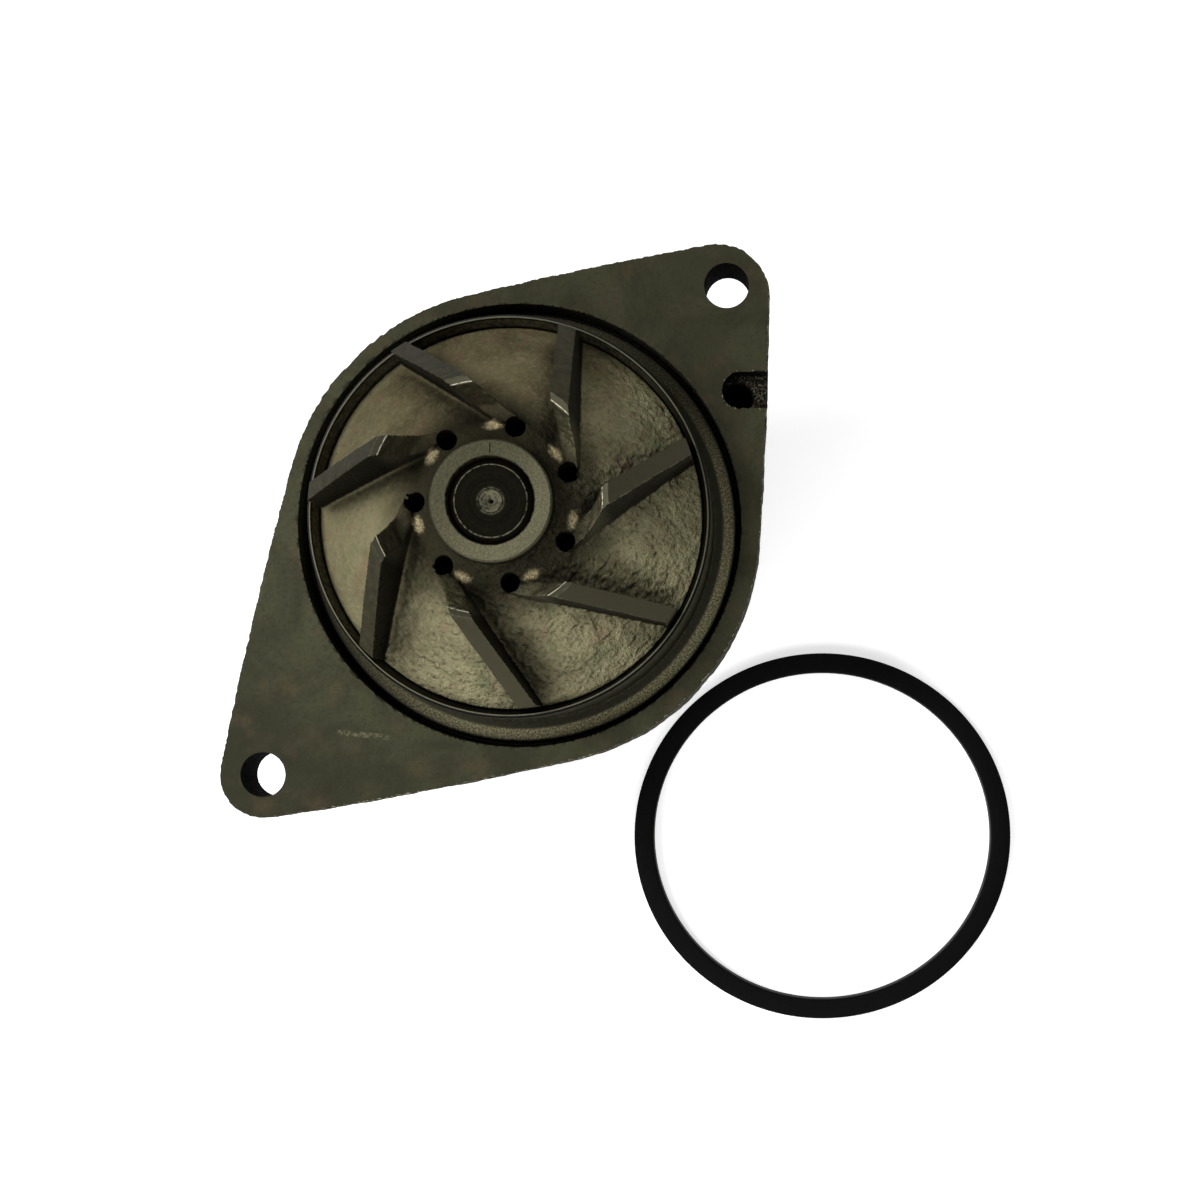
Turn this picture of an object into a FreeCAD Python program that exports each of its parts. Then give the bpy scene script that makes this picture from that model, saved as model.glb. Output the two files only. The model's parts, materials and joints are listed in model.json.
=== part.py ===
import FreeCAD, Part
import math
import os

# Two-bolt engine water pump, in millimetres.
# Z is the shaft axis, pointing at the impeller. z = 0 is the flange's machined face, which meets the engine.
# X runs along the line of the two bolt holes.

# --- flange and pilot spigot ---
FLANGE_THICKNESS = 10.2
FLANGE_ARC_RADIUS = 47.7
FLANGE_ARC_Y = -0.5            # the cast outline sits slightly off the shaft axis
FLANK_RADIUS = 900.0           # the four long edges from the body to the ears are almost straight
BOLT_PLUS_X = 63.3
BOLT_MINUS_X = -71.5
BOLT_ROW_Y = 3.0
EAR_PLUS_X = 60.9              # centre of the ear's round end, a little inside its bolt hole
EAR_PLUS_RADIUS = 10.2
EAR_MINUS_X = BOLT_MINUS_X
EAR_MINUS_RADIUS = 8.7
BOLT_HOLE_RADIUS = 4.5

SEAT_OUTER_RADIUS = 44.35
SEAT_RELIEF_RADIUS = 43.1
SEAT_DEPTH = 3.5
SEAT_RELIEF_DEPTH = 5.2
SPIGOT_RADIUS = 38.8
SPIGOT_LIP_RADIUS = 38.35
SPIGOT_BORE_RADIUS = 37.35
SPIGOT_FOOT_RADIUS = 36.35
SPIGOT_TOP = 12.5
WEB_TOP = -2.0                 # floor of the impeller's chamber
SEAL_COLLAR_RADIUS = 22.5
BOSS_BOTTOM = -54.0

# --- weep outlet ---
WEEP_HOLE = (49.15, -13.5)
WEEP_HOLE_RADIUS = 3.0
WEEP_SLOT_START = (50.15, -13.4)
WEEP_SLOT_WIDTH = 7.4
WEEP_SLOT_DEPTH = 4.5
WEEP_SLOT_ANGLE = -46.5        # degrees from +X, out through the flange's edge
WEEP_PASSAGE_Z = -13.0
WEEP_PASSAGE_RADIUS = 2.5

# --- bearing and shaft ---
SHAFT_RADIUS = 7.96
SHAFT_TOP = 31.0
SHAFT_BOTTOM = -67.6
BEARING_RADIUS = 15.0
BEARING_TOP = -17.0
BEARING_BOTTOM = -55.0
SLEEVE_BORE_RADIUS = 13.1
BALL_RADIUS = 3.175
BALL_PITCH_RADIUS = 10.55
BALL_COUNT = 8
RACEWAY_RADIUS = 3.25
BALL_ROW_Z = {"impeller_end": -26.0, "pulley_end": -46.0}

# --- mechanical seal ---
SEAL_CASE_RADIUS = 18.25
SEAL_CASE_BOTTOM = -9.0
LEAK_CHAMBER_RADIUS = 15.5
SEAL_PLANE_Z = 8.0             # the carbon face runs on the mating ring here

# --- impeller ---
VANE_COUNT = 7
IMPELLER_RADIUS = 37.0
IMPELLER_HUB_RADIUS = 11.1
IMPELLER_HUB_TOP = 31.6
IMPELLER_HUB_BOTTOM = 13.0
VANE_OFFSET = 14.1             # from the shaft axis to the vane's centre plane
VANE_ANGLE = 98.5              # direction of the first vane's run, in degrees from +X
VANE_THICKNESS_TOP = 3.05
VANE_THICKNESS_ROOT = 3.4
VANE_OUTER_TOP = 17.9
VANE_CREST = (21.8, 35.95)      # (radius, z) where the vane's top meets its chamfer
VANE_CHAMFER_FOOT = (20.6, 35.4)
BALANCE_HOLE_ANGLE = 28.8
BALANCE_HOLE_PITCH_RADIUS = 14.6
BALANCE_HOLE_RADIUS = 1.85

# --- drive pulley ---
PULLEY_RADIUS = 41.0
PULLEY_FRONT = -68.2
PULLEY_BACK = -38.5
PULLEY_RIM_INNER_RADIUS = 36.2
GROOVE_COUNT = 8
GROOVE_PITCH = 3.56
GROOVE_DEPTH = 2.2

# --- flange seal ring, lying beside the pump on the same surface ---
RING_CENTRE = (-4.9, -90.4)
RING_LONG_RADIUS = 45.5
RING_SHORT_RADIUS = 44.2
RING_WIDTH = 4.7
RING_HEIGHT = 4.0
RING_TURN = -46.5              # direction of the ring's long axis, in degrees from +X

Z_AXIS = FreeCAD.Vector(0, 0, 1)
ORIGIN = FreeCAD.Vector(0, 0, 0)


def cylinder(radius, bottom, top, x=0.0, y=0.0):
    return Part.makeCylinder(radius, top - bottom, FreeCAD.Vector(x, y, bottom))


def tube(inner, outer, bottom, top):
    return cylinder(outer, bottom, top).cut(cylinder(inner, bottom - 1, top + 1))


def turned(points):
    """Solid of revolution about Z from a closed outline of (radius, z) points."""
    corners = [FreeCAD.Vector(r, 0, z) for r, z in points]
    face = Part.Face(Part.makePolygon(corners + corners[:1]))
    return face.revolve(ORIGIN, Z_AXIS, 360)


def turned_about_z(shape, degrees):
    copy = shape.copy()
    copy.rotate(ORIGIN, Z_AXIS, degrees)
    return copy


def ring_of(shape, count, first_angle=0.0):
    """Copies of a shape spaced evenly about Z."""
    return [turned_about_z(shape, first_angle + k * 360.0 / count) for k in range(count)]


# ---------------------------------------------------------------- body casting
# One iron casting, as five solids that meet face to face: flange, pilot spigot, bearing boss,
# boss ribs and weep rib.

def flank(centre_a, radius_a, centre_b, radius_b, side):
    """Long shallow arc that touches two circles from outside: its end points and its middle point.
    side is +1 for the +Y edge and -1 for the -Y edge."""
    reach_a = FLANK_RADIUS - radius_a
    reach_b = FLANK_RADIUS - radius_b
    between = centre_b - centre_a
    gap = between.Length
    along = (reach_a ** 2 - reach_b ** 2 + gap ** 2) / (2 * gap)
    across = math.sqrt(reach_a ** 2 - along ** 2)
    unit = between / gap
    normal = FreeCAD.Vector(-unit.y, unit.x, 0)
    if normal.y * side > 0:
        normal = -normal
    centre = centre_a + unit * along + normal * across
    end_a = centre + (centre_a - centre).normalize() * FLANK_RADIUS
    end_b = centre + (centre_b - centre).normalize() * FLANK_RADIUS
    middle = centre + ((end_a + end_b) / 2 - centre).normalize() * FLANK_RADIUS
    return end_a, middle, end_b


def arc_between(centre, radius, start, end):
    """Arc of under half a turn about a centre, from start to end."""
    middle = centre + ((start - centre) + (end - centre)).normalize() * radius
    return Part.Arc(start, middle, end).toShape()


def flange_outline():
    ear_plus = FreeCAD.Vector(EAR_PLUS_X, BOLT_ROW_Y, 0)
    ear_minus = FreeCAD.Vector(EAR_MINUS_X, BOLT_ROW_Y, 0)
    body = FreeCAD.Vector(0, FLANGE_ARC_Y, 0)
    upper_plus = flank(ear_plus, EAR_PLUS_RADIUS, body, FLANGE_ARC_RADIUS, 1)
    upper_minus = flank(body, FLANGE_ARC_RADIUS, ear_minus, EAR_MINUS_RADIUS, 1)
    lower_minus = flank(ear_minus, EAR_MINUS_RADIUS, body, FLANGE_ARC_RADIUS, -1)
    lower_plus = flank(body, FLANGE_ARC_RADIUS, ear_plus, EAR_PLUS_RADIUS, -1)
    edges = [
        Part.Arc(*upper_plus).toShape(),
        arc_between(body, FLANGE_ARC_RADIUS, upper_plus[2], upper_minus[0]),
        Part.Arc(*upper_minus).toShape(),
        arc_between(ear_minus, EAR_MINUS_RADIUS, upper_minus[2], lower_minus[0]),
        Part.Arc(*lower_minus).toShape(),
        arc_between(body, FLANGE_ARC_RADIUS, lower_minus[2], lower_plus[0]),
        Part.Arc(*lower_plus).toShape(),
        arc_between(ear_plus, EAR_PLUS_RADIUS, lower_plus[2], upper_plus[0]),
    ]
    return Part.Wire(edges)


def flange_plate():
    plate = Part.Face(flange_outline()).extrude(FreeCAD.Vector(0, 0, -FLANGE_THICKNESS))
    cast_edge_radius = 1.5
    back_edges = [edge for edge in plate.Edges if edge.BoundBox.ZMax < -FLANGE_THICKNESS + 0.01]
    return plate.makeFillet(cast_edge_radius, back_edges)


def impeller_chamber():
    """Everything that is turned out of the casting round the shaft axis."""
    return turned([
        (0, SPIGOT_TOP + 1), (SPIGOT_FOOT_RADIUS, SPIGOT_TOP + 1), (SPIGOT_FOOT_RADIUS, WEB_TOP),
        (SEAL_COLLAR_RADIUS + 1, WEB_TOP), (SEAL_COLLAR_RADIUS, 0), (SEAL_CASE_RADIUS, 0),
        (SEAL_CASE_RADIUS, SEAL_CASE_BOTTOM), (LEAK_CHAMBER_RADIUS, SEAL_CASE_BOTTOM),
        (LEAK_CHAMBER_RADIUS, BEARING_TOP), (BEARING_RADIUS, BEARING_TOP),
        (BEARING_RADIUS, BEARING_BOTTOM), (0, BEARING_BOTTOM),
    ])


def weep_cuts():
    """Slot in the flange's face, the hole down from it and the passage in to the leak chamber."""
    slot_top = 1.0
    past_the_edge = 20.0
    slot = cylinder(WEEP_SLOT_WIDTH / 2, -WEEP_SLOT_DEPTH, slot_top)
    slot_run = Part.makeBox(past_the_edge, WEEP_SLOT_WIDTH, WEEP_SLOT_DEPTH + slot_top,
                            FreeCAD.Vector(0, -WEEP_SLOT_WIDTH / 2, -WEEP_SLOT_DEPTH))
    slot = turned_about_z(slot.fuse(slot_run), WEEP_SLOT_ANGLE)
    slot.translate(FreeCAD.Vector(WEEP_SLOT_START[0], WEEP_SLOT_START[1], 0))
    hole = cylinder(WEEP_HOLE_RADIUS, WEEP_PASSAGE_Z, slot_top, *WEEP_HOLE)
    direction = FreeCAD.Vector(WEEP_HOLE[0], WEEP_HOLE[1], 0)
    passage = Part.makeCylinder(WEEP_PASSAGE_RADIUS, direction.Length,
                                FreeCAD.Vector(0, 0, WEEP_PASSAGE_Z), direction)
    return slot.fuse([hole, passage])


def flange():
    """Two-eared plate with the seal seat, the bolt holes, the weep slot and the web round the seal."""
    seat_and_spigot_space = turned([
        (SPIGOT_FOOT_RADIUS, 1), (SPIGOT_FOOT_RADIUS, -SEAT_DEPTH), (SEAT_RELIEF_RADIUS, -SEAT_DEPTH),
        (SEAT_RELIEF_RADIUS + 0.3, -SEAT_RELIEF_DEPTH), (SEAT_OUTER_RADIUS, -SEAT_RELIEF_DEPTH),
        (SEAT_OUTER_RADIUS, 1),
    ])
    bolt_holes = [cylinder(BOLT_HOLE_RADIUS, -FLANGE_THICKNESS - 1, 1, x, BOLT_ROW_Y)
                  for x in (BOLT_PLUS_X, BOLT_MINUS_X)]
    return flange_plate().cut([seat_and_spigot_space, impeller_chamber(), weep_cuts()] + bolt_holes)


def pilot_spigot():
    """Upright ring that centres the pump in the engine's bore."""
    return turned([
        (SPIGOT_FOOT_RADIUS, -SEAT_DEPTH), (SPIGOT_RADIUS, -SEAT_DEPTH), (SPIGOT_RADIUS, SPIGOT_TOP - 0.5),
        (SPIGOT_LIP_RADIUS, SPIGOT_TOP), (SPIGOT_LIP_RADIUS - 0.2, SPIGOT_TOP),
        (SPIGOT_BORE_RADIUS, SPIGOT_TOP - 2.7), (SPIGOT_BORE_RADIUS, WEB_TOP + 1),
        (SPIGOT_FOOT_RADIUS, WEB_TOP),
    ])


def boss_envelope():
    """The bearing boss before it is bored."""
    return turned([
        (0, -FLANGE_THICKNESS), (30, -FLANGE_THICKNESS), (25.5, -14.5), (22.5, -30),
        (20.8, BOSS_BOTTOM + 1), (20.0, BOSS_BOTTOM), (0, BOSS_BOTTOM),
    ])


def bearing_boss():
    return boss_envelope().cut([impeller_chamber(), weep_cuts()])


def boss_rib():
    """Triangular web between the flange's back and the bearing boss, along +X."""
    thickness = 6.0
    corners = [(16, -FLANGE_THICKNESS), (41, -FLANGE_THICKNESS), (41, -FLANGE_THICKNESS - 1),
               (20.5, -37), (16, -37)]
    points = [FreeCAD.Vector(x, -thickness / 2, z) for x, z in corners]
    face = Part.Face(Part.makePolygon(points + points[:1]))
    return face.extrude(FreeCAD.Vector(0, thickness, 0)).cut(boss_envelope())


def boss_ribs():
    """Five ribs at 60 degree steps; the weep rib takes the sixth place."""
    return Part.makeCompound(ring_of(boss_rib(), 6, 30)[:5])


def weep_rib():
    """Rounded rib on the flange's back that holds the weep passage."""
    width = 11.0
    bottom = -18.0
    start = 16.0
    reach = math.hypot(*WEEP_HOLE)
    bar = Part.makeBox(reach - start, width, -FLANGE_THICKNESS - bottom,
                       FreeCAD.Vector(start, -width / 2, bottom))
    rib = bar.fuse(cylinder(width / 2, bottom, -FLANGE_THICKNESS, reach))
    rib = turned_about_z(rib, math.degrees(math.atan2(WEEP_HOLE[1], WEEP_HOLE[0])))
    return rib.cut([boss_envelope(), weep_cuts()]).removeSplitter()


# ---------------------------------------------------------------- shaft and bearing

def raceway(ball_z):
    return Part.makeTorus(BALL_PITCH_RADIUS, RACEWAY_RADIUS, FreeCAD.Vector(0, 0, ball_z), Z_AXIS)


def pump_shaft():
    chamfer = 1.35
    flat = SHAFT_RADIUS - chamfer
    shaft = turned([
        (0, SHAFT_BOTTOM), (flat, SHAFT_BOTTOM), (SHAFT_RADIUS, SHAFT_BOTTOM + chamfer),
        (SHAFT_RADIUS, SHAFT_TOP - chamfer), (flat, SHAFT_TOP), (0, SHAFT_TOP),
    ])
    centre_drill = turned([
        (0, SHAFT_TOP - 2.0), (0.4, SHAFT_TOP - 1.8), (0.4, SHAFT_TOP - 0.8), (2.0, SHAFT_TOP + 0.1),
        (0, SHAFT_TOP + 0.1),
    ])
    return shaft.cut([raceway(z) for z in BALL_ROW_Z.values()] + [centre_drill])


def bearing_outer_sleeve():
    lead = 0.6
    sleeve = turned([
        (SLEEVE_BORE_RADIUS, BEARING_BOTTOM), (BEARING_RADIUS - lead, BEARING_BOTTOM),
        (BEARING_RADIUS, BEARING_BOTTOM + lead), (BEARING_RADIUS, BEARING_TOP - lead),
        (BEARING_RADIUS - lead, BEARING_TOP), (SLEEVE_BORE_RADIUS, BEARING_TOP),
    ])
    return sleeve.cut([raceway(z) for z in BALL_ROW_Z.values()])


def ball_row(ball_z):
    ball = Part.makeSphere(BALL_RADIUS, FreeCAD.Vector(BALL_PITCH_RADIUS, 0, ball_z))
    return Part.makeCompound(ring_of(ball, BALL_COUNT))


def ball_cage(ball_z):
    """Crown cage: one closed rail, with pockets open to the other side."""
    pocket = Part.makeSphere(RACEWAY_RADIUS + 0.03, FreeCAD.Vector(BALL_PITCH_RADIUS, 0, ball_z))
    return tube(9.4, 11.8, ball_z - 4.8, ball_z + 1.8).cut(ring_of(pocket, BALL_COUNT))


def bearing_lip_seal(bottom):
    running_gap = 0.04
    return tube(SHAFT_RADIUS + running_gap, SLEEVE_BORE_RADIUS, bottom, bottom + 1.6)


def slinger_ring():
    return turned([
        (SHAFT_RADIUS, -15.2), (12.8, -15.2), (13.2, -14.2), (9.8, -13.4), (9.8, -11.4),
        (SHAFT_RADIUS, -11.4),
    ])


# ---------------------------------------------------------------- mechanical seal

def seal_case():
    sheet = 0.9
    inner = SEAL_CASE_RADIUS - sheet
    return turned([
        (9.8, SEAL_CASE_BOTTOM), (SEAL_CASE_RADIUS, SEAL_CASE_BOTTOM), (SEAL_CASE_RADIUS, 0), (21.5, 0),
        (21.5, sheet), (inner, sheet), (inner, SEAL_CASE_BOTTOM + sheet), (9.8, SEAL_CASE_BOTTOM + sheet),
    ])


def seal_bellows():
    bottom = SEAL_CASE_BOTTOM + 0.9
    return turned([
        (9.9, bottom), (13.0, bottom), (13.0, -6.6), (11.4, -6.6), (11.4, -4.6), (12.8, -2.6),
        (11.4, -0.6), (12.1, 1.4), (12.1, 2.5), (9.9, 2.5), (9.9, 1.4), (10.4, -0.6), (11.6, -2.6),
        (10.4, -4.6), (9.9, -6.0),
    ])


def bellows_clamp_ring():
    return tube(11.4, 13.0, -6.6, -5.4)


def seal_spring():
    """Open coil spring round the bellows, as a faceted solid."""
    wire_radius = 0.65
    coil_radius = 14.9
    turns = 4
    steps_per_turn = 24
    sides = 8
    bottom = SEAL_CASE_BOTTOM + 0.9 + wire_radius
    height = 8.6

    def section(step):
        angle = 2 * math.pi * step / steps_per_turn
        centre_z = bottom + height * step / (turns * steps_per_turn)
        points = []
        for side in range(sides):
            around = 2 * math.pi * side / sides
            radius = coil_radius + wire_radius * math.cos(around)
            points.append(FreeCAD.Vector(radius * math.cos(angle), radius * math.sin(angle),
                                         centre_z + wire_radius * math.sin(around)))
        return points

    sections = [section(step) for step in range(turns * steps_per_turn + 1)]
    outlines = [sections[0], sections[-1]]
    for here, following in zip(sections, sections[1:]):
        for side in range(sides):
            after = (side + 1) % sides
            outlines.append([here[side], here[after], following[side]])
            outlines.append([here[after], following[after], following[side]])
    faces = [Part.Face(Part.makePolygon(points + points[:1])) for points in outlines]
    spring = Part.Solid(Part.Shell(faces))
    return spring if spring.Volume > 0 else spring.reversed()


def carbon_face_ring():
    return turned([
        (9.9, 2.5), (13.2, 2.5), (13.2, 6.6), (12.6, 7.0), (12.6, SEAL_PLANE_Z), (10.6, SEAL_PLANE_Z),
        (10.6, 7.0), (9.9, 6.6),
    ])


def face_ring_retainer():
    return turned([
        (12.2, 1.8), (16.4, 1.8), (16.4, 2.5), (14.0, 2.5), (14.0, 6.2), (13.2, 6.2), (13.2, 2.5),
        (12.2, 2.5),
    ])


def mating_ring():
    return tube(9.4, 14.2, SEAL_PLANE_Z, 11.6)


def mating_ring_cup():
    return turned([
        (SHAFT_RADIUS, 7.4), (9.4, 7.4), (9.4, 11.6), (14.2, 11.6), (14.2, 9.2), (15.2, 9.2),
        (15.2, IMPELLER_HUB_BOTTOM), (SHAFT_RADIUS, IMPELLER_HUB_BOTTOM),
    ])


# ---------------------------------------------------------------- impeller

def impeller_plate():
    """Steep conical back plate with its hub."""
    return turned([
        (SHAFT_RADIUS, IMPELLER_HUB_BOTTOM), (12.0, IMPELLER_HUB_BOTTOM), (12.0, 21.5), (16.0, 21.5),
        (IMPELLER_RADIUS, 6.6), (IMPELLER_RADIUS, 9.2), (36.6, 9.5), (15.0, 26.3), (12.2, 27.4),
        (IMPELLER_HUB_RADIUS, 28.4), (IMPELLER_HUB_RADIUS, IMPELLER_HUB_TOP - 0.3),
        (IMPELLER_HUB_RADIUS - 0.3, IMPELLER_HUB_TOP), (SHAFT_RADIUS + 0.2, IMPELLER_HUB_TOP),
        (SHAFT_RADIUS, IMPELLER_HUB_TOP - 0.2),
    ])


def vane_block():
    """Straight flat-sided vane, before its top and ends are turned, running along +Y."""
    def section(thickness, z):
        left = VANE_OFFSET - thickness / 2
        right = VANE_OFFSET + thickness / 2
        corners = [(left, 4), (right, 4), (right, 42), (left, 42)]
        points = [FreeCAD.Vector(x, y, z) for x, y in corners]
        return Part.makePolygon(points + points[:1])
    return Part.makeLoft([section(VANE_THICKNESS_ROOT, 5), section(VANE_THICKNESS_TOP, 38)], True, True)


def vane_envelope():
    """Turned shape of all the vanes' tops and ends."""
    return turned([
        (IMPELLER_RADIUS, 7.5), (IMPELLER_RADIUS, VANE_OUTER_TOP), VANE_CREST, VANE_CHAMFER_FOOT,
        (17.8, 28.3), (15.2, 27.3), (15.0, 24.0), (16.5, 22.5),
    ])


def impeller():
    vane = vane_block().common(vane_envelope())
    vanes = ring_of(vane, VANE_COUNT, VANE_ANGLE - 90)
    balance_hole = cylinder(BALANCE_HOLE_RADIUS, 15, 35, BALANCE_HOLE_PITCH_RADIUS)
    holes = ring_of(balance_hole, VANE_COUNT, BALANCE_HOLE_ANGLE)
    return impeller_plate().fuse(vanes).cut(holes)


# ---------------------------------------------------------------- pulley and flange seal

def belt_groove(centre_z):
    mouth = 1.45
    floor = 0.65
    bottom = PULLEY_RADIUS - GROOVE_DEPTH
    return turned([
        (bottom, centre_z - floor), (PULLEY_RADIUS + 0.5, centre_z - mouth),
        (PULLEY_RADIUS + 0.5, centre_z + mouth), (bottom, centre_z + floor),
    ])


def drive_pulley():
    web_inside = PULLEY_FRONT + 5
    hub_radius = 13.0
    hub_top = -56.5
    blank = turned([
        (SHAFT_RADIUS, PULLEY_FRONT), (PULLEY_RADIUS - 0.6, PULLEY_FRONT),
        (PULLEY_RADIUS, PULLEY_FRONT + 0.6), (PULLEY_RADIUS, PULLEY_BACK),
        (PULLEY_RIM_INNER_RADIUS, PULLEY_BACK),
        (PULLEY_RIM_INNER_RADIUS, web_inside + 2), (PULLEY_RIM_INNER_RADIUS - 2, web_inside),
        (hub_radius + 2, web_inside), (hub_radius, web_inside + 2), (hub_radius, hub_top),
        (SHAFT_RADIUS, hub_top),
    ])
    rim_middle = (PULLEY_FRONT + PULLEY_BACK) / 2
    first = rim_middle - GROOVE_PITCH * (GROOVE_COUNT - 1) / 2
    return blank.cut([belt_groove(first + k * GROOVE_PITCH) for k in range(GROOVE_COUNT)])


def oval(long_radius, short_radius):
    ellipse = Part.Ellipse(ORIGIN, long_radius, short_radius).toShape()
    return Part.Face(Part.Wire(ellipse))


def flange_seal_ring():
    section = oval(RING_LONG_RADIUS, RING_SHORT_RADIUS).cut(
        oval(RING_LONG_RADIUS - RING_WIDTH, RING_SHORT_RADIUS - RING_WIDTH))
    ring = section.extrude(FreeCAD.Vector(0, 0, RING_HEIGHT))
    ring.rotate(ORIGIN, Z_AXIS, RING_TURN)
    ring.translate(FreeCAD.Vector(RING_CENTRE[0], RING_CENTRE[1], PULLEY_FRONT))
    return ring


def main():
    nodes = {
        "flange": flange(),
        "pilot_spigot": pilot_spigot(),
        "bearing_boss": bearing_boss(),
        "boss_ribs": boss_ribs(),
        "weep_rib": weep_rib(),
        "bearing_outer_sleeve": bearing_outer_sleeve(),
        "bearing_seal_impeller_end": bearing_lip_seal(BEARING_TOP - 2.2),
        "bearing_seal_pulley_end": bearing_lip_seal(BEARING_BOTTOM + 0.6),
        "seal_case": seal_case(),
        "seal_bellows": seal_bellows(),
        "bellows_clamp_ring": bellows_clamp_ring(),
        "seal_spring": seal_spring(),
        "carbon_face_ring": carbon_face_ring(),
        "face_ring_retainer": face_ring_retainer(),
        "mating_ring": mating_ring(),
        "mating_ring_cup": mating_ring_cup(),
        "pump_shaft": pump_shaft(),
        "slinger_ring": slinger_ring(),
        "impeller": impeller(),
        "drive_pulley": drive_pulley(),
        "flange_seal_ring": flange_seal_ring(),
    }
    for end, ball_z in BALL_ROW_Z.items():
        nodes["balls_" + end] = ball_row(ball_z)
        nodes["ball_cage_" + end] = ball_cage(ball_z)

    os.makedirs("parts", exist_ok=True)
    for name, shape in nodes.items():
        if not shape.isValid():
            raise ValueError(name + " is not a valid solid")
        shape.exportStep("parts/" + name + ".step")
        box = shape.BoundBox
        print(f"{name:28s} solids {len(shape.Solids)}  volume {shape.Volume:10.1f}"
              f"  z {box.ZMin:7.2f} {box.ZMax:7.2f}")


main()
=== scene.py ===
import json
import math

import bmesh
import bpy
import numpy as np
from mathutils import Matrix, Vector, noise


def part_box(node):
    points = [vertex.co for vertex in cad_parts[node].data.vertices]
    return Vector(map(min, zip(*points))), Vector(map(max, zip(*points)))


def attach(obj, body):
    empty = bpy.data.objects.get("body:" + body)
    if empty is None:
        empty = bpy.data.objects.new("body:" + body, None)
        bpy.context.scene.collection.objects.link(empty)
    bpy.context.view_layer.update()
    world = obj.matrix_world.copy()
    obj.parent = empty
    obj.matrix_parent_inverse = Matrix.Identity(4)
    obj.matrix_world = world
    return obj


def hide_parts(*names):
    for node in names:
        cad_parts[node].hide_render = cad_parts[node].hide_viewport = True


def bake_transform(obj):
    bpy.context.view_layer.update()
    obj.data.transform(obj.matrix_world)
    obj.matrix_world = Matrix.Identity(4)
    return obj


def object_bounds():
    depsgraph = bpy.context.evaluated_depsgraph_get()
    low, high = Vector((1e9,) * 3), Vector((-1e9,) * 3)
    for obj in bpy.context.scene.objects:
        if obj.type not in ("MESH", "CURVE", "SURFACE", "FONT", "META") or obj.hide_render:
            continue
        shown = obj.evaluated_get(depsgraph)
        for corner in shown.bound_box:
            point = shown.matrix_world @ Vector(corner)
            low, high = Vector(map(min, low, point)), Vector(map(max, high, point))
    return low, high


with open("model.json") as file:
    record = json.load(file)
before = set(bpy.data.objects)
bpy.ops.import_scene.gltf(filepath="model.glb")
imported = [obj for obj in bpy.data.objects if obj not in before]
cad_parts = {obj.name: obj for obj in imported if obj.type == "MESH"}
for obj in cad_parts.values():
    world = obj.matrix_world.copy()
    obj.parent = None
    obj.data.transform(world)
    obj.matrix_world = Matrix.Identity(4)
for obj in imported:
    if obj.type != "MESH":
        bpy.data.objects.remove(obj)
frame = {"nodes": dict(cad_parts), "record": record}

CAD_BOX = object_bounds()
MM = 0.001

FLOOR_Z = CAD_BOX[0][2]         # metres: the pump and its loose seal ring stand on it
TAU = 2 * math.pi
VIEW_TURN = -46.54              # degrees about Z from the frame's X axis to the right of the main view

# From here on, sizes are in millimetres and angles in degrees from +X. The shaft axis is x = y = 0.
BOLT_PLUS = (63.3, 3.0)
BOLT_MINUS = (-71.5, 3.0)
BOLT_HOLE_RADIUS = 4.5
FLANGE_BACK = -10.2
WEEP_HOLE = (49.15, -13.5)
WEEP_HOLE_RADIUS = 3.0
WEEP_SLOT_START = (50.15, -13.4)
WEEP_SLOT_ANGLE = -46.5
WEEP_SLOT_HALF_WIDTH = 3.7
WEEP_SLOT_DEPTH = 4.5
WEEP_OUTLET = (52.5, -15.9)     # middle of the open slot
VANE_COUNT = 7
BALANCE_HOLE_RADIUS = 1.85
BALANCE_HOLE_RING = 14.6
FIRST_BALANCE_HOLE = 28.8
RING_MM_PER_DEGREE = 0.2548     # along the ring of balance holes

# Profiles of the turned surfaces, as corners of (radius, z).
VANE_TIPS = [(37.0, 6.6), (37.0, 17.9), (21.8, 35.95), (20.6, 35.4)]
HUB_AND_BORE = [(11.1, 29.2), (11.1, 31.3), (10.8, 31.6), (8.16, 31.6), (7.96, 31.4), (7.96, 13.0),
                (12.0, 13.0)]
FACE_AND_SEAT = [(95.0, 0.0), (44.35, 0.0), (44.35, -5.2), (43.4, -5.2), (43.1, -3.5), (36.4, -3.5)]
BEARING_BORE = [(20.0, -54.0), (15.0, -54.0), (15.0, -17.0)]
SEAL_BORE = [(22.5, 0.0), (18.25, 0.0), (18.25, -9.0), (15.5, -9.0)]

# Marks on the surfaces.
FOOT_PAD_ANGLE = 45.3           # the first bright foot between two vanes
FOOT_PAD_RING = 14.5
SCUFF = (-51.9, -6.1)
SCUFF_ANGLE = VIEW_TURN - 6
HUB_SCORE = (6.8, 6.45)
HUB_SCORE_ANGLE = 90 + VIEW_TURN

# How the castings are remade as fine meshes.
CAST_NODES = ["flange", "bearing_boss", "boss_ribs", "weep_rib"]
IMPELLER_VOXEL = 0.3
BODY_VOXEL = 0.45
SNAP = 0.75                     # share of a voxel from which points move onto a machined surface
CORNER_SNAP = 0.55              # the same for the corners of a profile
CREASE = 38                     # edges sharper than this stay sharp in the shading
EVERYWHERE = 1e9

FLOOR_GLOW = 0.6                # a light table, so that shadows stay pale
FLOOR_SIZE = 3.0                # metres
WORLD_LIGHT = 0.10


# ---------------------------------------------------------------- node material helpers

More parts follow.
